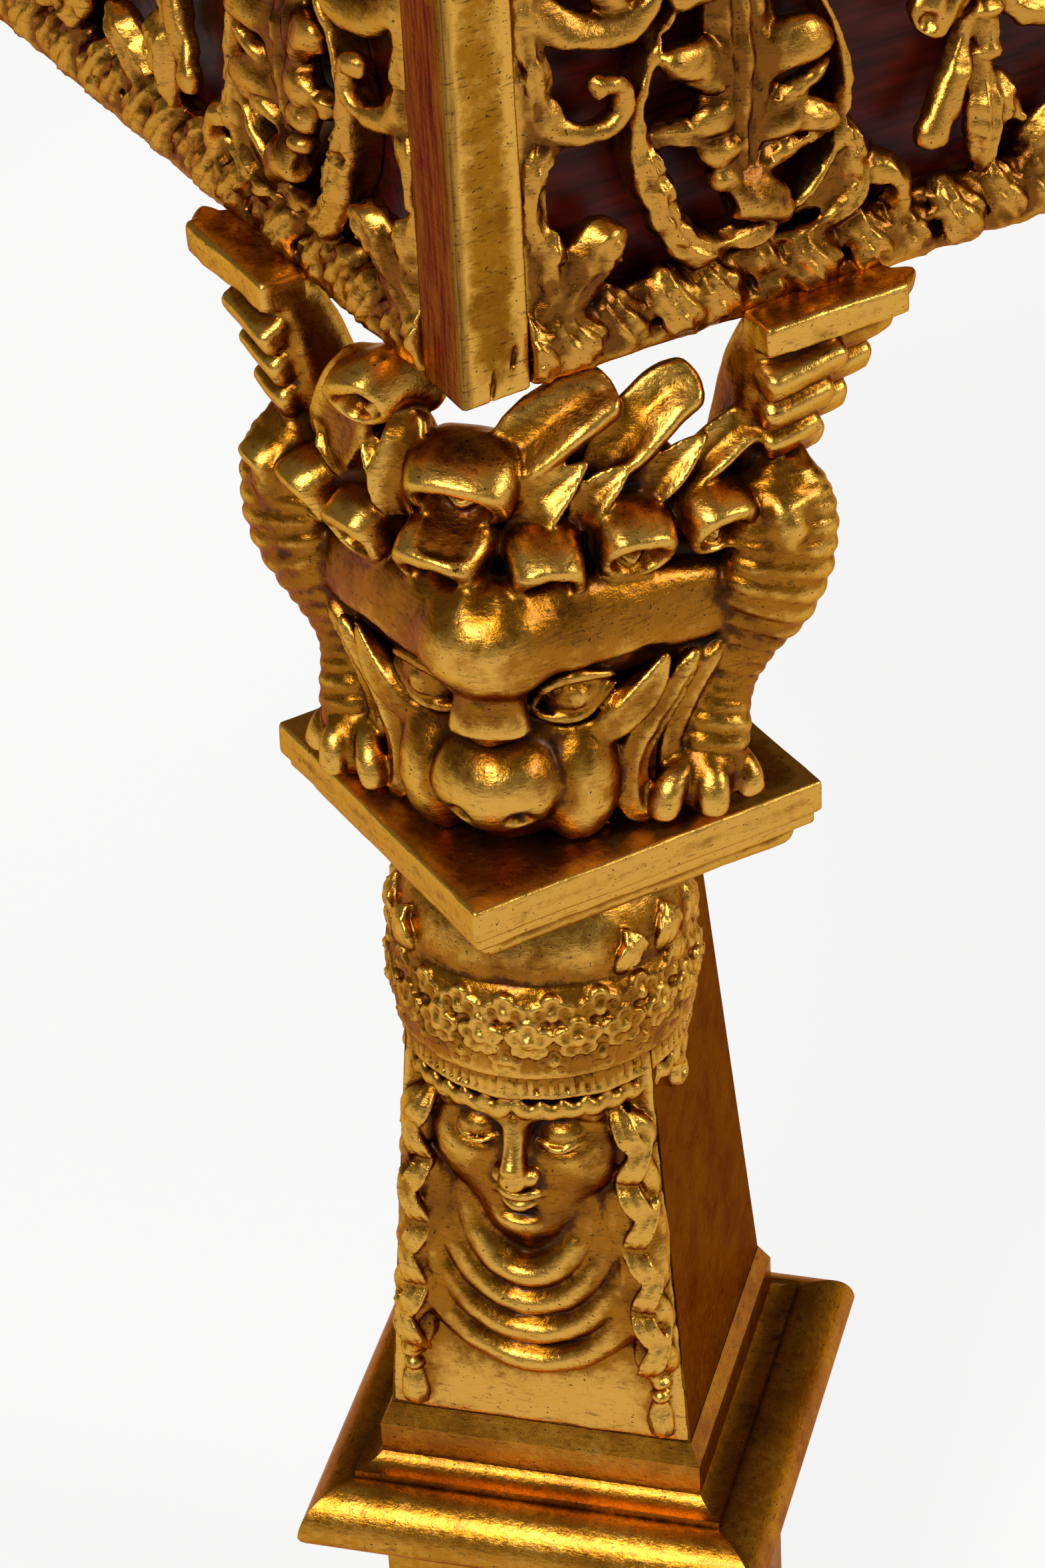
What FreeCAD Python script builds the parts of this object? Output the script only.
"""Gilt games table on four winged-lion and caryatid legs, as a parametric document in millimetres.

The origin is on the floor under the middle of the top, +Z is up and the front faces -Y.
Each leg piece is drawn about its own leg axis, for the front left corner, and turned to its corner.
"""
import FreeCAD, Part
import math
import os
import re

import Sketcher
from FreeCAD import Placement, Rotation, Vector

UP = Vector(0, 0, 1)
LEG_DIAGONAL = -45.0
WING_DOWEL_ALONG = "((wing_start + wing_end) / 2 - wing_dowel_setback)"
WING_DOWEL_ACROSS = "(fret_thickness + board_thickness / 2 - leg_inset)"

# Corner name: side along X, side along Y, turn about Z from the front left corner.
CORNERS = {
    "front_left": (-1, -1, 0),
    "front_right": (1, -1, 90),
    "back_right": (1, 1, 180),
    "back_left": (-1, 1, 270),
}
# Apron side name: turn about Z from the front.
SIDES = {"front": 0, "right": 90, "back": 180, "left": 270}

SIZES = {
    # Apron box and its carved openwork
    "table_side": 1052,
    "apron_bottom": 590,
    "apron_height": 170,
    "post_width": 24,
    "post_depth": 25,
    "post_edge": 1.5,
    "fret_thickness": 12,
    "fret_relief": 4,
    "fret_rail": 24,
    "side_fret_gap": 1.5,
    "board_thickness": 13,
    "motif_count": 6,
    "motif_pitch": 172,
    "ring_half_width": 42.5,
    "ring_centre": 65.5,
    "ring_flank_radius": 74.5,
    "ring_band": 7,
    "scroll_radius": 15,
    "scroll_band": 7,
    # Legs, from the apron down
    "leg_inset": 49,
    "lion_height": 167,
    "brow_half_width": 73,
    "brow_nub_radius": 19,
    "wing_start": 47,
    "wing_end": 103,
    "wing_plate": 17,
    "wing_lip": 5,
    "wing_gap": 0.3,
    "wing_seat": 27,
    "feather_step": 13,
    "feather_setback": 3,
    "abacus_side": 130,
    "abacus_thickness": 12,
    "abacus_edge": 1.2,
    "moulding_top_half": 60,
    "moulding_lip_height": 7.5,
    "moulding_bottom_half": 49,
    "moulding_radius": 14,
    "moulding_height": 10,
    "herm_height": 222,
    "herm_top_side": 74,
    "herm_bottom_side": 106,
    "head_height": 132,
    "head_half_width": 31,
    "wreath_radius": 38,
    "wreath_thickness": 12,
    "cap_radius": 36,
    "base_seat_half": 66,
    "base_lip_half": 78,
    "base_lip_height": 2.5,
    "base_torus_half": 82,
    "base_torus_low": 8,
    "base_torus_lower_radius": 7,
    "base_torus_radius": 17.5,
    "base_torus_high": 24,
    "base_fillet_half": 64.8,
    "base_fillet_high": 27,
    "base_cove_radius": 9,
    "base_block_half": 56.7,
    "base_block_low": 31,
    "base_block_high": 43.4,
    "base_top_half": 53.2,
    "base_height": 51,
    "die_side": 116,
    "die_edge": 1.5,
    "foot_half": 68,
    "foot_plinth_height": 7,
    "foot_step_half": 66,
    "foot_top_half": 61,
    "foot_cove_radius": 7,
    "foot_height": 12,
    "dowel_diameter": 14,
    "dowel_reach": 34,
    "wing_dowel_diameter": 8,
    "wing_dowel_reach": 20,
    "wing_dowel_setback": 4,
    "dowel_clearance": 0.1,
    # Lift-off top and the games well below it
    "top_thickness": 30,
    "top_overhang": 30,
    "rail_width": 70,
    "rail_edge_height": 14,
    "rail_edge_inset": 9,
    "rail_edge_radius": 13,
    "rail_foot_inset": 12,
    "rebate_width": 12,
    "panel_thickness": 18,
    "square_side": 45,
    "square_count": 8,
    "inlay_thickness": 1.5,
    "border_width": 8,
    "batten_side": 20,
    "batten_clearance": 4,
    "well_depth": 70,
    "floor_thickness": 10,
    "floor_clearance": 0.5,
    "bearer_side": 16,
    "corner_block_side": 40,
    "corner_block_height": 55,
}

doc = FreeCAD.newDocument("games_table")
sheet = doc.addObject("Spreadsheet::Sheet", "Dimensions")
nodes = []


def fill_sheet():
    """Write every driving dimension into the sheet under its own alias."""
    for row, (alias, value) in enumerate(SIZES.items(), start=1):
        sheet.set(f"A{row}", alias)
        sheet.set(f"B{row}", str(value))
        sheet.setAlias(f"B{row}", alias)
    doc.recompute()


def size(alias):
    """Read one driving dimension back from the sheet."""
    return float(sheet.get(alias))


def from_sheet(text):
    """Turn alias words in a formula into references to the sheet."""
    return re.sub(
        r"[a-z_]+",
        lambda word: f"Dimensions.{word[0]}" if word[0] in SIZES else word[0],
        text,
    )


def bind(item, **formulas):
    """Bind properties of a document object to formulas of sheet aliases."""
    for name, formula in formulas.items():
        item.setExpression(name.replace("__", "."), from_sheet(formula))


def place(item, x="0", y="0", z="0", turn=0.0):
    """Turn an object about Z and bind its position to the sheet."""
    item.Placement = Placement(Vector(), Rotation(UP, turn))
    bind(item, Placement__Base__x=x, Placement__Base__y=y, Placement__Base__z=z)
    return item


def place_on_leg(item, corner, z, turn=0.0):
    """Set a piece, drawn about the leg axis of the front left corner, on its own leg."""
    side_x, side_y, quarter = CORNERS[corner]
    inset = "(table_side / 2 - leg_inset)"
    return place(item, f"{side_x} * {inset}", f"{side_y} * {inset}", z, quarter + turn)


def node(item, label):
    """Name a finished sub-part, which also names its file."""
    item.Label = label
    nodes.append(item)
    return item


def feature(name, shape):
    """Hold a carved or grouped shape in a document object."""
    item = doc.addObject("Part::Feature", name)
    item.Shape = shape
    return item


def box(name, length, width, height, x="0", y="0", z="0"):
    """A box bound to the sheet, with its low corner at x, y, z."""
    item = doc.addObject("Part::Box", name)
    bind(item, Length=length, Width=width, Height=height)
    return place(item, x, y, z)


def cylinder(name, diameter, height, x="0", y="0", z="0"):
    """An upright cylinder bound to the sheet, standing on x, y, z."""
    item = doc.addObject("Part::Cylinder", name)
    bind(item, Radius=f"({diameter}) / 2", Height=height)
    return place(item, x, y, z)


def boolean(kind, name, base, tool):
    """A boolean of two document objects."""
    item = doc.addObject(f"Part::{kind}", name)
    item.Base = base
    item.Tool = tool
    return item


def compound(name, items):
    """A group of separate solids kept in one sub-part."""
    item = doc.addObject("Part::Compound", name)
    item.Links = items
    return item


def body_plane(body, role):
    """One of a body's own origin planes."""
    return next(item for item in body.Origin.OriginFeatures if item.Role == role)


def centred_block(label, width, depth, height, bore=None, edge=None, picks=None):
    """A padded rectangle about the Z axis, with an optional bore and rounded edges.

    The formulas are sheet aliases; picks says which edges of the pad are rounded.
    """
    body = doc.addObject("PartDesign::Body", label)
    sketch = body.newObject("Sketcher::SketchObject", f"{label}_outline")
    sketch.AttachmentSupport = (body_plane(body, "XY_Plane"), [""])
    sketch.MapMode = "FlatFace"
    start = 50.0
    corners = [
        Vector(-start, -start, 0),
        Vector(start, -start, 0),
        Vector(start, start, 0),
        Vector(-start, start, 0),
    ]
    for first in range(4):
        sketch.addGeometry(Part.LineSegment(corners[first], corners[(first + 1) % 4]))
    for first in range(4):
        sketch.addConstraint(Sketcher.Constraint("Coincident", first, 2, (first + 1) % 4, 1))
    for line in (0, 2):
        sketch.addConstraint(Sketcher.Constraint("Horizontal", line))
    for line in (1, 3):
        sketch.addConstraint(Sketcher.Constraint("Vertical", line))
    sketch.addConstraint(Sketcher.Constraint("Symmetric", 0, 1, 1, 2, -1, 1))
    across = sketch.addConstraint(Sketcher.Constraint("DistanceX", 0, 1, 0, 2, 2 * start))
    along = sketch.addConstraint(Sketcher.Constraint("DistanceY", 1, 1, 1, 2, 2 * start))
    sketch.setExpression(f"Constraints[{across}]", from_sheet(width))
    sketch.setExpression(f"Constraints[{along}]", from_sheet(depth))
    if bore:
        hole = sketch.addGeometry(Part.Circle(Vector(), UP, 5.0))
        sketch.addConstraint(Sketcher.Constraint("Coincident", hole, 3, -1, 1))
        round_size = sketch.addConstraint(Sketcher.Constraint("Diameter", hole, 10.0))
        sketch.setExpression(f"Constraints[{round_size}]", from_sheet(bore))
    pad = body.newObject("PartDesign::Pad", f"{label}_pad")
    pad.Profile = sketch
    bind(pad, Length=height)
    doc.recompute()
    if edge:
        fillet = body.newObject("PartDesign::Fillet", f"{label}_edges")
        chosen = [f"Edge{n}" for n, line in enumerate(pad.Shape.Edges, start=1) if picks(line)]
        fillet.Base = (pad, chosen)
        bind(fillet, Radius=edge)
        doc.recompute()
    return body


def straight(edge):
    """Whether an edge is a straight line."""
    return edge.Curve.TypeId == "Part::GeomLine"


def arc_between(start, end, radius, outward):
    """An anticlockwise arc between two points that bulges to the right of their line, or to its left."""
    chord = end - start
    rise = radius - math.sqrt(radius**2 - (chord.Length / 2) ** 2)
    normal = Vector(chord.y, -chord.x, 0)
    normal.normalize()
    middle = (start + end) * 0.5 + normal * rise * outward
    return Part.Arc(start, middle, end) if outward > 0 else Part.Arc(end, middle, start)


def section_sketch(name, steps):
    """A symmetrical moulding section, drawn up its right side and down its left.

    Each step is a half width, a height, and the radius and sense of the arc to the next step.
    """
    sketch = doc.addObject("Sketcher::SketchObject", name)
    sketch.Placement = Placement(Vector(), Rotation(Vector(1, 0, 0), 90))
    right = [(half, high, 1, radius, sense) for half, high, radius, sense in steps]
    left = []
    for index in range(len(steps) - 1, -1, -1):
        half, high = steps[index][:2]
        radius, sense = steps[index - 1][2:] if index else (None, 0)
        left.append((half, high, -1, radius, sense))
    outline = right + left
    points = [
        Vector(side * size(half), size(high) if high else 0.0, 0)
        for half, high, side, radius, sense in outline
    ]
    count = len(outline)
    for index, (half, high, side, radius, sense) in enumerate(outline):
        start, end = points[index], points[(index + 1) % count]
        if radius:
            sketch.addGeometry(arc_between(start, end, size(radius), sense))
        else:
            sketch.addGeometry(Part.LineSegment(start, end))
    # A hollow arc runs against the outline, so its start is the outline's later point.
    starts = []
    for index in range(count):
        curve = sketch.Geometry[index]
        starts.append(1 if (curve.StartPoint - points[index]).Length < 1e-6 else 2)
    for index, (half, high, side, radius, sense) in enumerate(outline):
        following = (index + 1) % count
        near, far = starts[index], 3 - starts[index]
        sketch.addConstraint(
            Sketcher.Constraint("Coincident", index, far, following, starts[following])
        )
        ends = (-1, 1, index, near) if side > 0 else (index, near, -1, 1)
        across = sketch.addConstraint(Sketcher.Constraint("DistanceX", *ends, size(half)))
        sketch.setExpression(f"Constraints[{across}]", from_sheet(half))
        if high:
            rise = sketch.addConstraint(
                Sketcher.Constraint("DistanceY", -1, 1, index, near, size(high))
            )
            sketch.setExpression(f"Constraints[{rise}]", from_sheet(high))
        else:
            sketch.addConstraint(Sketcher.Constraint("PointOnObject", index, near, -1))
        if radius:
            bend = sketch.addConstraint(Sketcher.Constraint("Radius", index, size(radius)))
            sketch.setExpression(f"Constraints[{bend}]", from_sheet(radius))
    return sketch


def extruded(name, sketch, length, turn=0.0):
    """A sketch extruded both ways from its plane, turned about Z."""
    item = doc.addObject("Part::Extrusion", name)
    item.Base = sketch
    item.DirMode = "Normal"
    item.Symmetric = True
    item.Solid = True
    bind(item, LengthFwd=length)
    item.Placement = Placement(Vector(), Rotation(UP, turn))
    return item


def square_moulding(name, steps, width):
    """A square piece whose four sides run one section and meet in mitres."""
    sketch = section_sketch(f"{name}_section", steps)
    run_x = extruded(f"{name}_run_x", sketch, width)
    run_y = extruded(f"{name}_run_y", sketch, width, 90)
    return boolean("Common", f"{name}_stock", run_x, run_y)


def turned(shape, angle, axis=UP, about=None):
    """A copy of a shape turned about an axis."""
    copy = shape.copy()
    copy.rotate(about or Vector(), axis, angle)
    return copy


def egg(centre, radius, half_height):
    """An upright egg: half an ellipse turned about its own Z axis."""
    top = Vector(0, 0, half_height)
    half_ellipse = Part.ArcOfEllipse(Part.Ellipse(top, Vector(radius, 0, 0), Vector()), 0, math.pi)
    axis = Part.LineSegment(half_ellipse.EndPoint, half_ellipse.StartPoint)
    outline = Part.Wire([half_ellipse.toShape(), axis.toShape()])
    shape = Part.Face(outline).revolve(Vector(), UP, 360)
    shape.translate(centre)
    return shape


def taper(start, end, start_radius, end_radius):
    """A round tapered limb between two points."""
    line = end - start
    if abs(start_radius - end_radius) < 0.01:
        return Part.makeCylinder(start_radius, line.Length, start, line)
    return Part.makeCone(start_radius, end_radius, line.Length, start, line)


def limb(points, radii, waist=1.0):
    """A chain of tapered limbs with round knuckles; a waist below 1 draws it in between them."""
    solids = [Part.makeSphere(radius, point) for point, radius in zip(points, radii)]
    for first in range(len(points) - 1):
        start_radius, end_radius = waist * radii[first], waist * radii[first + 1]
        solids.append(taper(points[first], points[first + 1], start_radius, end_radius))
    return solids


def fused(solids):
    """One clean solid out of many that overlap."""
    return solids[0].multiFuse(solids[1:]).removeSplitter()


def prism(points, depth):
    """A closed outline of points and arcs, extruded by a vector.

    A point that stands in a tuple is the middle of an arc between its neighbours.
    """
    edges = []
    index = 0
    while index < len(points) - 1:
        if isinstance(points[index + 1], tuple):
            middle = points[index + 1][0]
            edges.append(Part.Arc(points[index], middle, points[index + 2]).toShape())
            index += 2
        else:
            edges.append(Part.LineSegment(points[index], points[index + 1]).toShape())
            index += 1
    return Part.Face(Part.Wire(edges)).extrude(depth)


def curled_leaf(width, height, curl):
    """An upright acanthus leaf that rolls forward at its tip, standing on the origin."""
    thick = 0.22 * height
    half = Vector(-width / 2, 0, 0)

    def side_point(forward, up):
        return Vector(0, -forward, up) + half

    tip_low = side_point(curl, 0.72 * height)
    side = [
        side_point(-thick, 0),
        (side_point(-0.7 * thick, 0.62 * height),),
        side_point(0.35 * curl, 0.97 * height),
        (side_point(0.85 * curl, 0.93 * height),),
        tip_low,
        (side_point(0.5 * curl, 0.78 * height),),
        side_point(0.25 * thick, 0.45 * height),
        side_point(0.6 * thick, 0),
        side_point(-thick, 0),
    ]
    band = prism(side, Vector(width, 0, 0))
    front = Part.Ellipse(Vector(), 0.62 * height, 0.5 * width)
    face = Part.Face(Part.Wire([front.toShape()]))
    face.rotate(Vector(), UP, 90)
    face.rotate(Vector(), Vector(1, 0, 0), 90)
    face.translate(Vector(0, height, 0.46 * height))
    return band.common(face.extrude(Vector(0, -2.2 * height, 0)))


def across(side, point):
    """A point on the right half of a carving, or its mirror image on the left."""
    return Vector(side * point.x, point.y, point.z)


def lion_head():
    """The lion's mask, facing -Y: skull, brow, bridge, nose, muzzle, jowls and eyes.

    The brow runs back from the nub on both sides, square to the abacus.
    """
    nub = Vector(0, -59, 82)
    nose = Vector(6, -55, 30)
    brow_middle = Vector(38, -32, 80.5)
    brow_end = Vector(size("brow_half_width"), 4, 69)
    whisker_pad = Vector(20, -42, 31)
    pad_drop = Vector(-1, 0, -14)
    jowl = Vector(36, -25, 44)
    jowl_drop = Vector(-3, -1, -25)
    eye = Vector(25, -42, 58)
    solids = [
        Part.makeSphere(35, Vector(0, -17, 62)),
        Part.makeSphere(size("brow_nub_radius"), nub),
        taper(nub, Vector(0, -56, 34), 14, 11.5),
        taper(nose, across(-1, nose), 16, 16),
        Part.makeSphere(12.5, Vector(0, -45, 11)),
    ]
    for side in (-1, 1):
        solids += limb([nub, across(side, brow_middle), across(side, brow_end)], [15, 12.5, 9])
        solids += limb([across(side, whisker_pad), across(side, whisker_pad + pad_drop)], [14, 15])
        solids += limb([across(side, jowl), across(side, jowl + jowl_drop)], [7, 9])
        solids += [Part.makeSphere(16, across(side, nose)), Part.makeSphere(8.5, across(side, eye))]
    return solids


def lion_mane():
    """A row of rolled leaves along the brow, and the tall leaves of the crest behind it."""
    row_height, row_curl, row_level = 30, 16, 84
    row = ((14, -40, 12, 27), (35, -24, 45, 24), (54, -7, 45, 22), (69, 6, 48, 19))
    crest = ((33, -22, 24, 30, 64, 21), (57, -3, 42, 24, 56, 17))
    crest_level = 94
    middle = curled_leaf(38, 48, 25)
    middle.translate(Vector(0, -22, crest_level))
    solids = [middle]
    for side in (-1, 1):
        for x, y, turn, width in row:
            leaf = turned(curled_leaf(width, row_height, row_curl), side * turn)
            leaf.translate(Vector(side * x, y, row_level))
            solids.append(leaf)
        for x, y, turn, width, height, curl in crest:
            leaf = turned(curled_leaf(width, height, curl), side * turn)
            leaf.translate(Vector(side * x, y, crest_level))
            solids.append(leaf)
    return solids


def lion_limb(side):
    """One fluted foreleg: a ribbed shoulder scroll, a waisted leg and a paw of three toes."""
    ribbed = (
        (89, -4, 97, 13), (87, -5, 86, 13.5), (81, -6, 75, 13), (74, -7, 65, 12),
        (68, -8, 55, 11), (64, -10, 45, 10.5), (61.5, -12, 35, 10.5), (61, -14, 25, 11.5),
    )
    points = [Vector(side * x, y, z) for x, y, z, radius in ribbed]
    solids = limb(points, [radius for x, y, z, radius in ribbed], waist=0.93)
    solids += limb([Vector(side * 79, -4, 104), points[0]], [17, 13])
    solids += limb([points[-1], Vector(side * 62, -17, 14)], [10, 13])
    ribs = 5
    for rib in range(ribs):
        angle = math.radians(-40 + 115 * rib / (ribs - 1))
        centre = Vector(side * (79 + 13 * math.cos(angle)), -6, 100 + 17 * math.sin(angle))
        solids.append(Part.makeSphere(7, centre))
    heel = Vector(side * 61, -16, 15)
    for x, y in ((47, -32), (58, -26), (67, -13)):
        toe = Vector(side * x, y, 5.5)
        solids += [Part.makeSphere(6.8, toe), taper(toe, heel, 6.8, 8.5)]
    return solids


def wing(start, end):
    """One wing, drawn along +X: tiers of feathers, each set back below the last, under a flat top."""
    face_y = -size("leg_inset") - size("wing_gap")
    outer_y = -size("leg_inset") - size("wing_plate")
    height = size("lion_height")
    step = size("feather_step")
    inward = size("feather_setback")
    root = 84.0
    overlap = 1.0

    def point(along, up):
        return Vector(along, outer_y, up)

    def slab(outline, setback):
        shape = prism(outline, Vector(0, face_y - outer_y - setback, 0))
        shape.translate(Vector(0, setback, 0))
        return shape

    top = height + size("wing_lip")
    low = height - step / 2
    plate = [
        point(start, low),
        point(start, top - 3),
        point(end, top),
        (point(end + 1.5, height),),
        point(end - 8, low),
        point(start, low),
    ]
    solids = [slab(plate, 0)]
    tiers = 4
    for tier in range(tiers):
        high = low + overlap - step * tier
        bottom = high - step - overlap
        tip = end - 6 - 9 * tier
        feather = [
            point(start - 4, bottom),
            point(tip - 9, bottom),
            (point(tip, bottom + 0.45 * step),),
            point(tip - 3, high),
            point(start - 4, high),
            point(start - 4, bottom),
        ]
        solids.append(slab(feather, inward * (tier + 1)))
    stem = [
        point(start - 22, root),
        point(start - 6, 118),
        (point(start - 1, 142),),
        point(start, low),
        point(start + 16, low),
        point(end - 37, root),
        point(start - 22, root),
    ]
    solids.append(slab(stem, inward * (tiers + 1)))
    seat_back = face_y + size("wing_gap") + size("wing_seat")

    def under(along, up):
        return Vector(along, face_y, up)

    bracket = prism(
        [
            under(start - 20, root + 2),
            (under(start - 3, 128),),
            under(start + 1, height),
            under(end - 8, height),
            (under(end - 20, height - 26),),
            under(end - 38, root + 2),
            under(start - 20, root + 2),
        ],
        Vector(0, seat_back - face_y, 0),
    )
    return solids + [bracket]


def lion_shape():
    """The winged lion that stands on the abacus and carries the corner of the apron."""
    # The core is a wedge whose two front sides lie along the abacus, drawn in under the crest.
    foot = ((9, -36), (46, 1), (46, 28))
    brow = ((12, -40), (66, 6), (52, 30))
    crown = ((10, -30), (54, 6), (40, 26))
    rings = []
    for outline, level in ((foot, 0), (brow, 82), (crown, 106)):
        right = [Vector(x, y, level) for x, y in outline]
        left = [across(-1, point) for point in reversed(right)]
        rings.append(Part.makePolygon(right + left + right[:1]))
    solids = [Part.makeLoft(rings, True, True)]
    solids += lion_head()
    solids += lion_mane()
    for side in (-1, 1):
        solids += lion_limb(side)
    solids = [turned(solid, LEG_DIAGONAL) for solid in solids]
    feathers = wing(size("wing_start"), size("wing_end"))
    solids += feathers
    # The other wing is its mirror image across the corner's diagonal.
    solids += [solid.mirror(Vector(), Vector(1, -1, 0)) for solid in feathers]
    shape = fused(solids)
    reach = 200.0
    height = size("lion_height")
    below = Part.makeBox(2 * reach, 2 * reach, reach, Vector(-reach, -reach, -reach))
    inset = size("leg_inset") + size("wing_gap")
    apron = Part.makeBox(reach, reach, reach, Vector(-inset, -inset, height))
    shape = shape.cut(below).cut(apron)
    radius = size("dowel_diameter") / 2 + size("dowel_clearance")
    bores = [Part.makeCylinder(radius, size("dowel_reach") + 1)]
    wing_radius = size("wing_dowel_diameter") / 2 + size("dowel_clearance")
    depth = size("wing_dowel_reach") + 1
    for along, inward in (wing_dowel_place(), wing_dowel_place()[::-1]):
        foot = Vector(along, inward, height - depth)
        bores.append(Part.makeCylinder(wing_radius, depth, foot))
    return shape.cut(Part.makeCompound(bores)).removeSplitter()


def wing_dowel_place():
    """Where a wing's dowel stands from the leg axis: along the apron and across it."""
    along = (size("wing_start") + size("wing_end")) / 2 - size("wing_dowel_setback")
    across = size("fret_thickness") + size("board_thickness") / 2 - size("leg_inset")
    return along, across


def pillar_tool():
    """The herm's tapered pillar run on past both of its ends, to fit the bust against."""
    spare = 30.0
    height = size("herm_height")
    low = size("herm_bottom_side") / 2
    high = size("herm_top_side") / 2
    slope = (high - low) / height * spare
    low, high = low - slope, high + slope
    tool = Part.makeWedge(
        -low, -spare, -low, -high, -high, low, height + spare, low, high, high
    )
    tool.rotate(Vector(), Vector(1, 0, 0), 90)
    return tool


def wreathed_cap():
    """The cap with its wreath: a turned section, from the hair up to the dome, and the flowers."""
    wreath = size("wreath_radius")
    roll = size("wreath_thickness")
    dome = size("cap_radius")

    def spot(radius, up):
        return Vector(radius, 0, up)

    hair = spot(wreath - 3, -28)
    band = spot(wreath + 2, -19)
    wreath_low = spot(wreath + 3, -11)
    wreath_high = spot(wreath + 4, 12)
    rim = spot(dome, 21)
    crest = spot(0, rim.z + 0.95 * dome)
    section = [
        Part.LineSegment(spot(0, hair.z), hair),
        Part.Arc(hair, spot(wreath + 2.5, -24), band),
        Part.Arc(band, spot(wreath + 6, -15), wreath_low),
        Part.Arc(wreath_low, spot(wreath + roll, 1), wreath_high),
        Part.Arc(wreath_high, spot(wreath + 2, 18), rim),
        Part.Arc(rim, spot(0.72 * dome, rim.z + 0.66 * dome), crest),
        Part.LineSegment(crest, spot(0, hair.z)),
    ]
    outline = Part.Wire([edge.toShape() for edge in section])
    # The seam of the turned section goes to the back, inside the herm.
    solids = [turned(Part.Face(outline).revolve(Vector(), UP, 360), 90)]
    flowers = 11
    for flower in range(flowers):
        angle = math.radians(-100 + 200 * flower / (flowers - 1))
        out = wreath + 0.75 * roll
        solids.append(Part.makeSphere(7, Vector(out * math.sin(angle), -out * math.cos(angle), 2.5)))
    return fused(solids)


def caryatid_shape():
    """The bust on the herm's front: cap, wreath, head, collar folds and plaited locks."""
    head = size("head_height")
    half = size("head_half_width")
    top = size("herm_height")
    crown = Vector(0, -16, head + 38)
    cap = turned(wreathed_cap(), 14.0, Vector(1, 0, 0))
    cap.translate(crown)
    solids = [
        cap,
        egg(Vector(0, -33, head - 4), half, 44),
        taper(Vector(0, -38, 58), Vector(0, -34, head - 18), 33, 23),
        taper(Vector(0, -62, head + 2), Vector(0, -65, head - 12), 3.5, 5.5),
        Part.makeSphere(9, Vector(0, -52, head - 37)),
    ]
    folds = 4
    for fold in range(folds):
        radius, thickness = 19 + 8 * fold, 5.7
        level = Vector(0, -55 + 1.5 * fold, head - 53 + 1.5 * fold)
        loop = Part.makeTorus(radius, thickness, Vector(), UP, -180, 180, 180)
        loop.rotate(Vector(), UP, 180)
        loop.rotate(Vector(), Vector(1, 0, 0), 90)
        loop.translate(level)
        solids.append(loop)
        for side in (-1, 1):
            end = level + Vector(side * radius, 0, 0)
            shoulder = Vector(side * (0.86 * radius + 3), -44, head - 22)
            solids += limb([end, shoulder], [thickness, thickness - 1])
    plaits = 12
    for side in (-1, 1):
        solids.append(Part.makeSphere(6.5, Vector(side * 13, -55.5, head + 4)))
        points = []
        for plait in range(plaits):
            up = head + 16 - 12.5 * plait
            herm_front = size("herm_bottom_side") / 2 - 0.072 * up
            swing = 2.2 if plait % 2 else -2.2
            points.append(Vector(side * (43 + swing), -herm_front + 1.5, up))
        radii = [10.5 - 0.45 * plait for plait in range(plaits)]
        solids += limb(points, radii, waist=0.72)
    shape = fused(solids)
    reach = 200.0
    above = Part.makeBox(2 * reach, 2 * reach, reach, Vector(-reach, -reach, top))
    behind = Part.makeBox(2 * reach, reach, 2 * reach, Vector(-reach, 8, -reach))
    fitted = shape.cut(above).cut(behind).cut(pillar_tool()).removeSplitter()
    # Slivers of the wreath that the pillar cuts off at the sides are left out.
    return max(fitted.Solids, key=lambda solid: solid.Volume)


def oval(centre_x, centre_z, long_half, short_half, angle):
    """A leaf-shaped face of two arcs in the XZ plane, its long axis at an angle from +X."""
    tip, side = Vector(long_half, 0, 0), Vector(0, 0, short_half)
    edges = [
        Part.Arc(tip * -1, side * -1, tip).toShape(),
        Part.Arc(tip, side, tip * -1).toShape(),
    ]
    face = Part.Face(Part.Wire(edges))
    face.rotate(Vector(), Vector(0, -1, 0), angle)
    face.translate(Vector(centre_x, 0, centre_z))
    return face


def disc(centre, radius):
    """A round face in the XZ plane."""
    return Part.Face(Part.Wire([Part.Circle(centre, Vector(0, -1, 0), radius).toShape()]))


def flat_box(low_x, high_x, low_z, high_z):
    """A rectangular face in the XZ plane."""
    points = [
        Vector(low_x, 0, low_z),
        Vector(high_x, 0, low_z),
        Vector(high_x, 0, high_z),
        Vector(low_x, 0, high_z),
    ]
    return Part.Face(Part.makePolygon(points + points[:1]))


def cartouche_outline(inset):
    """The cartouche's edge: a half round below and two flank arcs that meet in a point."""
    half = size("ring_half_width") - inset
    flank = size("ring_flank_radius") - inset
    level = size("ring_centre")
    centre = flank - half
    apex = level + math.sqrt(flank**2 - centre**2)
    tilt = math.atan2(apex - level, centre) / 2
    middle = Vector(-centre + flank * math.cos(tilt), 0, level + flank * math.sin(tilt))
    left, right, tip = Vector(-half, 0, level), Vector(half, 0, level), Vector(0, 0, apex)
    mirrored = Vector(-middle.x, 0, middle.z)
    edges = [
        Part.Arc(left, Vector(0, 0, level - half), right).toShape(),
        Part.Arc(right, middle, tip).toShape(),
        Part.Arc(tip, mirrored, left).toShape(),
    ]
    return Part.Face(Part.Wire(edges))


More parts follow.
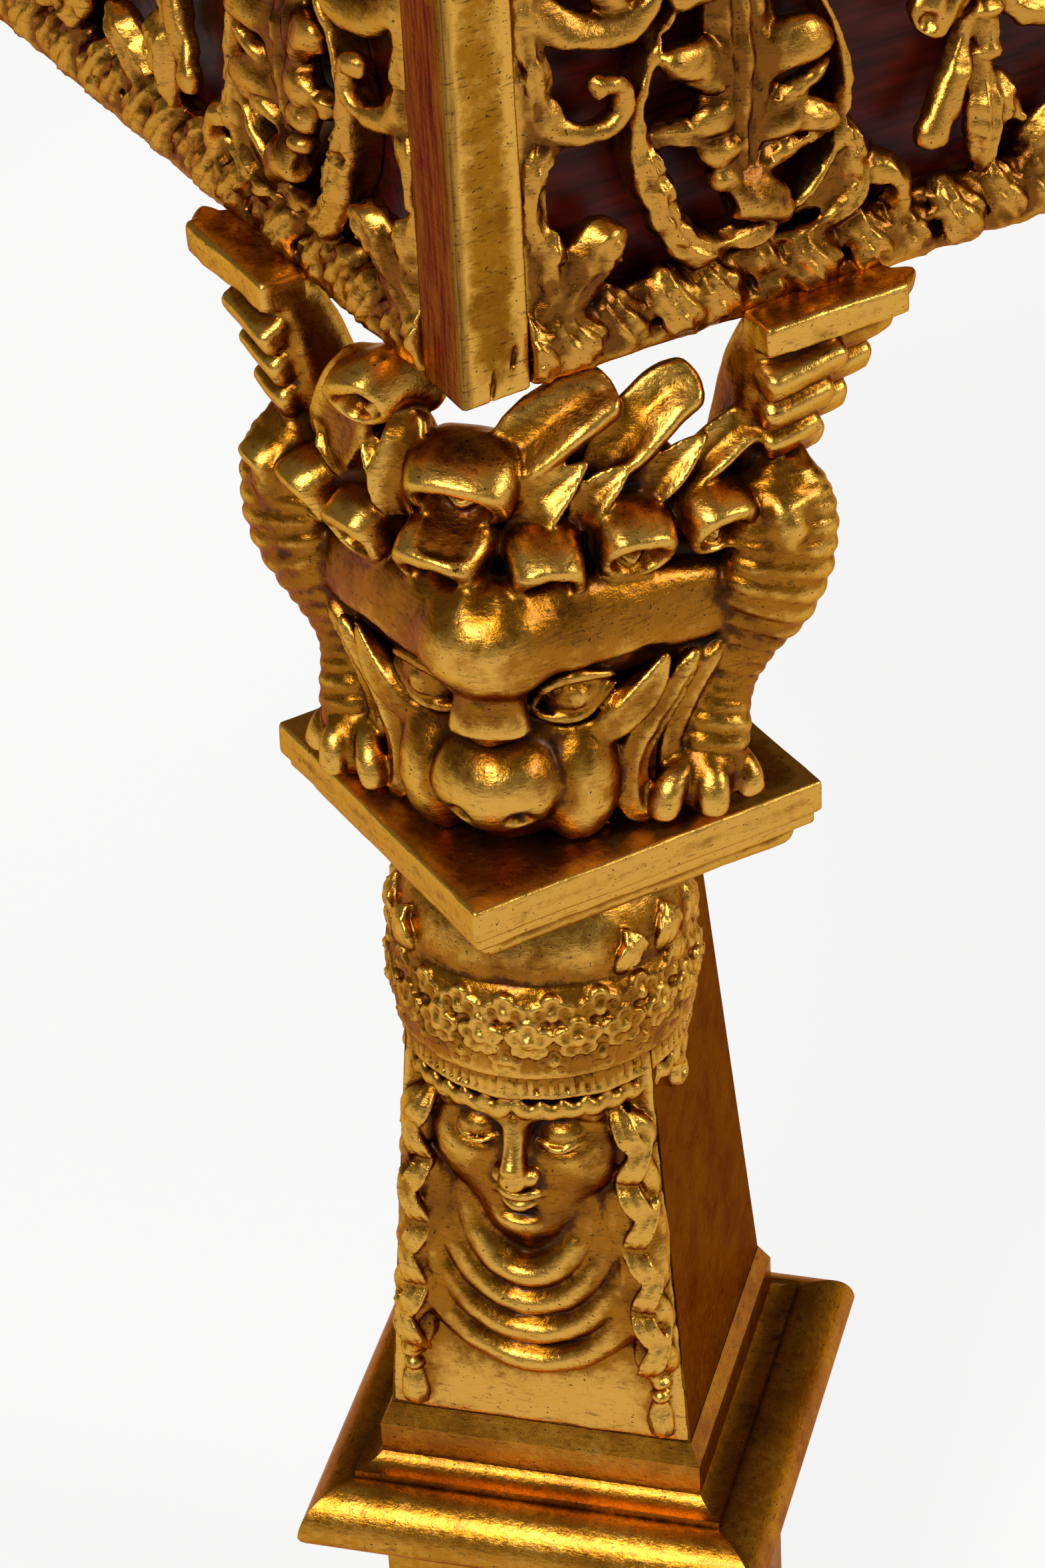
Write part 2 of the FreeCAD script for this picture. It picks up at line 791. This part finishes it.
def scroll(centre_x, centre_z, start, sweep):
    """An arc of strap that ends in a round eye, in the XZ plane; angles are from +X."""
    radius = size("scroll_radius")
    band = size("scroll_band")
    angles = [math.radians(start + sweep * part) for part in (0, 0.5, 1)]

    def around(distance, angle):
        return Vector(
            centre_x + distance * math.cos(angle), 0, centre_z + distance * math.sin(angle)
        )

    outer = [around(radius, angle) for angle in angles]
    inner = [around(radius - band, angle) for angle in angles]
    edges = [
        Part.Arc(*outer).toShape(),
        Part.LineSegment(outer[2], inner[2]).toShape(),
        Part.Arc(*reversed(inner)).toShape(),
        Part.LineSegment(inner[0], outer[0]).toShape(),
    ]
    strap = Part.Face(Part.Wire(edges))
    eye = disc(around(radius - band / 2, angles[2]), 0.75 * band)
    return [strap, eye]


def mirrored(angle, side):
    """An angle from +X, or its mirror image for the left side."""
    return angle if side > 0 else 180 - angle


def palmette(x):
    """The acanthus palmette inside a cartouche: a stem, paired lobes and a rolled foot."""
    faces = [
        oval(x, 92, 40, 9, 90),
        oval(x, 38, 20, 10, 0),
        oval(x, 56, 22, 8, 90),
    ]
    for side in (-1, 1):
        for height, reach, long_half, tilt in ((64, 17, 21, 18), (84, 13, 17, 38), (101, 9, 14, 55)):
            faces.append(oval(x + side * reach, height, 1.15 * long_half, 7, mirrored(tilt, side)))
    return faces


def drop(x):
    """The husk drop that hangs between two cartouches, with a scroll on each side."""
    faces = [
        oval(x, 40, 20, 8.5, 90),
        oval(x, 84, 40, 5.5, 90),
        oval(x, 124, 30, 11, 90),
        oval(x, 66, 15, 6, 8),
    ]
    for side in (-1, 1):
        faces += scroll(x + side * 19, 106, mirrored(190, side), side * 190)
        faces.append(oval(x + side * 38, 126, 29, 7.5, mirrored(40, side)))
    return faces


def corner_leaves(x, side):
    """Leaves that tie a cartouche to the rail, beside it and above it."""
    return [
        oval(x + side * 46, 32, 23, 8, mirrored(140, side)),
        oval(x + side * 50, 58, 16, 7, mirrored(20, side)),
        oval(x + side * 30, 134, 25, 7.5, mirrored(48, side)),
    ]


def post_leaves(end, side):
    """Curled leaves that grow from the post towards the first cartouche."""
    return [
        oval(end - side * 4, 76, 62, 8, 90),
        oval(end - side * 10, 33, 22, 9, 90 + side * 42),
        oval(end - side * 12, 136, 22, 7, 90 + side * 30),
        *scroll(end - side * 15, 96, 0 if side > 0 else 180, side * 200),
    ]


def merged(faces):
    """One flat face, or a few, out of many that overlap in the XZ plane."""
    pieces = faces[0].multiFuse(faces[1:]).Faces
    for piece in pieces:
        low_u, high_u, low_v, high_v = piece.ParameterRange
        if piece.normalAt((low_u + high_u) / 2, (low_v + high_v) / 2).y > 0:
            piece.reverse()
    return Part.makeShell(pieces).removeSplitter()


def fret_shape(half_length):
    """One side's carved openwork: two rails, a row of cartouches, drops and leaves.

    It is drawn in the XZ plane at the panel's face and stands forward along -Y.
    """
    height = size("apron_height")
    rail = size("fret_rail")
    pitch = size("motif_pitch")
    thick = size("fret_thickness")
    band = size("ring_band")
    bevel = band / 5
    count = int(size("motif_count"))
    centres = [pitch * (index - (count - 1) / 2) for index in range(count)]
    faces = [
        flat_box(-half_length, half_length, 0, rail),
        flat_box(-half_length, half_length, height - rail, height),
    ]
    ring = cartouche_outline(0).cut(cartouche_outline(band))
    crest = cartouche_outline(bevel).cut(cartouche_outline(band - bevel))
    reliefs = []
    for x in centres:
        faces.append(ring.translated(Vector(x, 0, 0)))
        faces += palmette(x)
        reliefs += [crest.translated(Vector(x, 0, 0)), oval(x, 88, 40, 5, 90)]
        for side in (-1, 1):
            faces += corner_leaves(x, side)
    for x, following in zip(centres, centres[1:]):
        faces += drop((x + following) / 2)
    for side in (-1, 1):
        faces += post_leaves(side * half_length, side)
    net = merged(faces).common(flat_box(-half_length, half_length, 0, height))
    solids = [face.extrude(Vector(0, -thick, 0)) for face in net.Faces]
    # The raised crests start inside the net, so that no faces coincide.
    for face in reliefs:
        raised = face.translated(Vector(0, -thick / 2, 0))
        solids.append(raised.extrude(Vector(0, -thick / 2 - size("fret_relief"), 0)))
    return fused(solids)


def build_legs():
    """Every piece of the four legs, from the lion down to the foot."""
    lion = lion_shape()
    bore = "dowel_diameter + 2 * dowel_clearance"
    moulding = square_moulding(
        "moulding",
        [
            ("moulding_bottom_half", None, "moulding_radius", 1),
            ("moulding_top_half", "moulding_lip_height", None, 0),
            ("moulding_top_half", "moulding_height", None, 0),
        ],
        "4 * moulding_top_half",
    )
    base = square_moulding(
        "base",
        [
            ("base_seat_half", None, None, 0),
            ("base_lip_half", "base_lip_height", "base_torus_lower_radius", 1),
            ("base_torus_half", "base_torus_low", "base_torus_radius", 1),
            ("base_fillet_half", "base_torus_high", None, 0),
            ("base_fillet_half", "base_fillet_high", "base_cove_radius", -1),
            ("base_block_half", "base_block_low", None, 0),
            ("base_block_half", "base_block_high", None, 0),
            ("base_top_half", "base_height", None, 0),
        ],
        "4 * base_torus_half",
    )
    foot = square_moulding(
        "foot",
        [
            ("foot_half", None, None, 0),
            ("foot_half", "foot_plinth_height", None, 0),
            ("foot_step_half", "foot_plinth_height", "foot_cove_radius", -1),
            ("foot_top_half", "foot_height", None, 0),
        ],
        "4 * foot_half",
    )
    abacus_top = "apron_bottom - lion_height"
    herm_top = f"{abacus_top} - abacus_thickness - moulding_height"
    herm_foot = f"{herm_top} - herm_height"
    base_foot = f"{herm_foot} - base_height"
    die_height = f"{base_foot} - foot_height"
    through = cylinder("moulding_bore", bore, "moulding_height")
    base_bore = cylinder("base_bore", bore, "base_height")
    foot_bore = cylinder("foot_bore", bore, "foot_height")
    pillar = doc.addObject("Part::Wedge", "pillar")
    bind(
        pillar,
        Xmin="-herm_bottom_side / 2",
        Xmax="herm_bottom_side / 2",
        Zmin="-herm_bottom_side / 2",
        Zmax="herm_bottom_side / 2",
        X2min="-herm_top_side / 2",
        X2max="herm_top_side / 2",
        Z2min="-herm_top_side / 2",
        Z2max="herm_top_side / 2",
        Ymax="herm_height",
    )
    pillar.Ymin = 0
    pillar.Placement = Placement(Vector(), Rotation(Vector(1, 0, 0), 90))
    herm_bores = compound(
        "herm_bores",
        [
            cylinder("herm_low_bore", bore, "dowel_reach + 1"),
            cylinder("herm_high_bore", bore, "dowel_reach + 1", z="herm_height - dowel_reach - 1"),
        ],
    )
    doc.recompute()
    bust = caryatid_shape()
    dowels = []
    wing_dowels = []
    for corner in CORNERS:
        lion_piece = node(feature(f"lion_{corner}", lion), f"lion_capital_{corner}")
        place_on_leg(lion_piece, corner, abacus_top)
        slab = centred_block(
            f"abacus_{corner}",
            "abacus_side",
            "abacus_side",
            "abacus_thickness",
            bore,
            "abacus_edge",
            straight,
        )
        place_on_leg(node(slab, f"abacus_{corner}"), corner, f"{abacus_top} - abacus_thickness")
        ovolo = boolean("Cut", f"ovolo_{corner}", moulding, through)
        place_on_leg(node(ovolo, f"abacus_moulding_{corner}"), corner, herm_top)
        herm = boolean("Cut", f"herm_{corner}", pillar, herm_bores)
        place_on_leg(node(herm, f"herm_{corner}"), corner, herm_foot, LEG_DIAGONAL)
        figure = node(feature(f"figure_{corner}", bust), f"caryatid_{corner}")
        place_on_leg(figure, corner, herm_foot, LEG_DIAGONAL)
        torus = boolean("Cut", f"torus_{corner}", base, base_bore)
        place_on_leg(node(torus, f"herm_base_{corner}"), corner, base_foot, LEG_DIAGONAL)
        die = centred_block(
            f"die_{corner}", "die_side", "die_side", die_height, bore, "die_edge", straight
        )
        place_on_leg(node(die, f"pedestal_die_{corner}"), corner, "foot_height", LEG_DIAGONAL)
        plinth = boolean("Cut", f"plinth_{corner}", foot, foot_bore)
        place_on_leg(node(plinth, f"foot_{corner}"), corner, "0", LEG_DIAGONAL)
        joints = (
            ("capital", "abacus_thickness + moulding_height", herm_top),
            ("base", "base_height", base_foot),
            ("foot", "0", "foot_height"),
        )
        for name, between, level in joints:
            low = f"{level} - dowel_reach" if name != "foot" else "1"
            long = f"{between} + 2 * dowel_reach" if name != "foot" else "foot_height - 1 + dowel_reach"
            pin = cylinder(f"{name}_dowel_{corner}", "dowel_diameter", long)
            dowels.append(place_on_leg(pin, corner, low))
        side_x, side_y, quarter = CORNERS[corner]
        ways = ((WING_DOWEL_ALONG, WING_DOWEL_ACROSS), (WING_DOWEL_ACROSS, WING_DOWEL_ALONG))
        for name, (out_x, out_y) in zip(("right", "left"), ways):
            ahead = round(math.cos(math.radians(quarter)))
            aside = round(math.sin(math.radians(quarter)))
            pin = cylinder(
                f"wing_dowel_{name}_{corner}",
                "wing_dowel_diameter",
                "2 * wing_dowel_reach",
                f"{side_x} * (table_side / 2 - leg_inset) + {ahead} * {out_x} - {aside} * {out_y}",
                f"{side_y} * (table_side / 2 - leg_inset) + {aside} * {out_x} + {ahead} * {out_y}",
                "apron_bottom - wing_dowel_reach",
            )
            wing_dowels.append(pin)
    node(compound("leg_dowel_group", dowels), "leg_dowels")
    node(compound("wing_dowel_group", wing_dowels), "wing_dowels")


def build_apron():
    """Corner posts, red boards, carved openwork, the well's floor and what carries it."""
    for corner, (side_x, side_y, quarter) in CORNERS.items():

        def outer_arris(edge, side_x=side_x, side_y=side_y):
            middle = edge.CenterOfMass
            upright = straight(edge) and abs(edge.tangentAt(edge.FirstParameter).z) > 0.9
            return upright and middle.x * side_x > 0 and middle.y * side_y > 0

        post = centred_block(
            f"post_{corner}",
            "post_width",
            "post_depth",
            "apron_height",
            edge="post_edge",
            picks=outer_arris,
        )
        place(
            node(post, f"corner_post_{corner}"),
            f"{side_x} * (table_side - post_width) / 2",
            f"{side_y} * (table_side - post_depth) / 2",
            "apron_bottom",
        )
    face = "(table_side / 2 - fret_thickness)"
    half = size("table_side") / 2
    long_fret = fret_shape(half - size("post_width"))
    short_fret = fret_shape(half - size("post_depth") - size("side_fret_gap"))
    for side, turn in SIDES.items():
        end = "post_width" if side in ("front", "back") else "post_depth"
        board = centred_block(
            f"board_{side}", f"table_side - 2 * {end}", "board_thickness", "apron_height"
        )
        place(board, "0", f"board_thickness / 2 - {face}", "apron_bottom")
        bores = []
        for hand, name in ((-1, "left"), (1, "right")):
            bores.append(
                cylinder(
                    f"board_bore_{side}_{name}",
                    "wing_dowel_diameter + 2 * dowel_clearance",
                    "wing_dowel_reach + 1",
                    f"{hand} * (table_side / 2 - leg_inset - {WING_DOWEL_ALONG})",
                    f"{WING_DOWEL_ACROSS} - (table_side / 2 - leg_inset)",
                    "apron_bottom",
                )
            )
        bored = boolean("Cut", f"bored_{side}", board, compound(f"board_bores_{side}", bores))
        bored.Placement = Placement(Vector(), Rotation(UP, turn))
        node(bored, f"apron_board_{side}")
        openwork = long_fret if side in ("front", "back") else short_fret
        carving = node(feature(f"openwork_{side}", openwork), f"fret_{side}")
        reach = half - size("fret_thickness")
        carving.Placement = Placement(
            Rotation(UP, turn).multVec(Vector(0, -reach, 0)), Rotation(UP, turn)
        )
        bind(carving, Placement__Base__z="apron_bottom")
    inner = "(table_side / 2 - fret_thickness - board_thickness)"
    floor_top = "apron_bottom + apron_height - well_depth"
    floor = centred_block(
        "floor",
        f"2 * {inner} - 2 * floor_clearance",
        f"2 * {inner} - 2 * floor_clearance",
        "floor_thickness",
    )
    place(node(floor, "well_floor"), z=f"{floor_top} - floor_thickness")
    bearers = []
    blocks = []
    for side, turn in SIDES.items():
        short = f"2 * {inner} - 2 * bearer_side" if side in ("left", "right") else f"2 * {inner}"
        strip = centred_block(f"bearer_{side}", short, "bearer_side", "bearer_side")
        low = f"{floor_top} - floor_thickness - bearer_side"
        inward_y = f"({inner} - bearer_side / 2)"
        quarter = round(turn / 90)
        bearers.append(
            place(
                strip,
                f"{(0, 1, 0, -1)[quarter]} * {inward_y}",
                f"{(-1, 0, 1, 0)[quarter]} * {inward_y}",
                low,
                turn,
            )
        )
    for corner, (side_x, side_y, quarter) in CORNERS.items():
        block = centred_block(
            f"block_{corner}", "corner_block_side", "corner_block_side", "corner_block_height"
        )
        at = f"({inner} - corner_block_side / 2)"
        blocks.append(place(block, f"{side_x} * {at}", f"{side_y} * {at}", "apron_bottom"))
    node(compound("bearer_group", bearers), "floor_bearers")
    node(compound("corner_block_group", blocks), "corner_blocks")


def rail_section():
    """The section of the top's frame, with its moulded outer edge and the panel's rebate."""
    outer = size("table_side") / 2 + size("top_overhang")
    inner = outer - size("rail_width")
    high = size("top_thickness")
    step = high - size("panel_thickness")
    lip = inner - size("rebate_width")
    low_edge = high - size("rail_edge_height")
    nose = Vector(0, size("rail_edge_inset") - outer, high)
    belly = Vector(0, -outer, low_edge)
    bulge = arc_between(Vector(nose.z, nose.y, 0), Vector(belly.z, belly.y, 0), size("rail_edge_radius"), 1)
    middle = bulge.value((bulge.FirstParameter + bulge.LastParameter) / 2)
    points = [
        Vector(0, -lip, 0),
        Vector(0, -lip, step),
        Vector(0, -inner, step),
        Vector(0, -inner, high),
        nose,
        (Vector(0, middle.y, middle.x),),
        belly,
        Vector(0, size("rail_foot_inset") - outer, 0),
        Vector(0, -lip, 0),
    ]
    return prism([shift(item, Vector(-outer, 0, 0)) for item in points], Vector(2 * outer, 0, 0))


def shift(item, offset):
    """Move an outline point, or an arc's middle point, by an offset."""
    if isinstance(item, tuple):
        return (item[0] + offset,)
    return item + offset


def build_top():
    """The lift-off top: a mitred frame, its panel, the inlaid chequer board and the battens."""
    outer = size("table_side") / 2 + size("top_overhang")
    stock = rail_section()
    reach = 1.5 * outer
    mitre = prism(
        [Vector(), Vector(-reach, -reach, 0), Vector(reach, -reach, 0), Vector()],
        Vector(0, 0, size("top_thickness")),
    )
    rail = stock.common(mitre)
    level = "apron_bottom + apron_height"
    for side, turn in SIDES.items():
        piece = node(feature(f"rail_{side}", rail), f"top_rail_{side}")
        place(piece, z=level, turn=turn)
    panel_side = "(table_side + 2 * top_overhang - 2 * rail_width)"
    board_side = "(square_count * square_side + 2 * border_width)"
    panel_level = f"{level} + top_thickness - panel_thickness"
    panel = centred_block("panel", panel_side, panel_side, "panel_thickness")
    place(panel, z=panel_level)
    recess = box(
        "recess",
        board_side,
        board_side,
        "inlay_thickness",
        f"-{board_side} / 2",
        f"-{board_side} / 2",
        f"{level} + top_thickness - inlay_thickness",
    )
    node(boolean("Cut", "recessed_panel", panel, recess), "top_board")
    count = int(size("square_count"))
    square = size("square_side")
    thick = size("inlay_thickness")
    inlay_level = f"{level} + top_thickness - inlay_thickness"
    for tone in range(2):
        tiles = []
        for row in range(count):
            for column in range(count):
                if (row + column) % 2 == tone:
                    low = Vector((column - count / 2) * square, (row - count / 2) * square, 0)
                    tiles.append(Part.makeBox(square, square, thick, low))
        name = ("dark_squares", "light_squares")[tone]
        place(node(feature(f"{name}_group", Part.makeCompound(tiles)), name), z=inlay_level)
    field = box(
        "field",
        "square_count * square_side",
        "square_count * square_side",
        "inlay_thickness",
        "-square_count * square_side / 2",
        "-square_count * square_side / 2",
        inlay_level,
    )
    node(boolean("Cut", "border_ring", recess, field), "board_border")
    inner = "(table_side / 2 - fret_thickness - board_thickness - batten_clearance)"
    battens = []
    for side, turn in SIDES.items():
        short = f"2 * {inner} - 2 * batten_side" if side in ("left", "right") else f"2 * {inner}"
        strip = centred_block(f"batten_{side}", short, "batten_side", "batten_side")
        quarter = round(turn / 90)
        out = f"({inner} - batten_side / 2)"
        battens.append(
            place(
                strip,
                f"{(0, 1, 0, -1)[quarter]} * {out}",
                f"{(-1, 0, 1, 0)[quarter]} * {out}",
                f"{level} - batten_side",
                turn,
            )
        )
    node(compound("batten_group", battens), "top_battens")


def check_and_write():
    """Stop on any failed object or shape, then write one file per sub-part."""
    doc.recompute()
    failed = [item.Label for item in doc.Objects if {"Invalid", "Error"} & set(item.State)]
    if failed:
        raise RuntimeError(f"failed objects: {failed}")
    for item in nodes:
        if item.Shape.isNull() or not item.Shape.isValid():
            raise RuntimeError(f"bad shape: {item.Label}")
    os.makedirs("parts", exist_ok=True)
    for item in nodes:
        item.Shape.exportStep(f"parts/{item.Label}.step")
        print(item.Label, len(item.Shape.Solids), round(item.Shape.Volume))


fill_sheet()
build_legs()
build_apron()
build_top()
check_and_write()
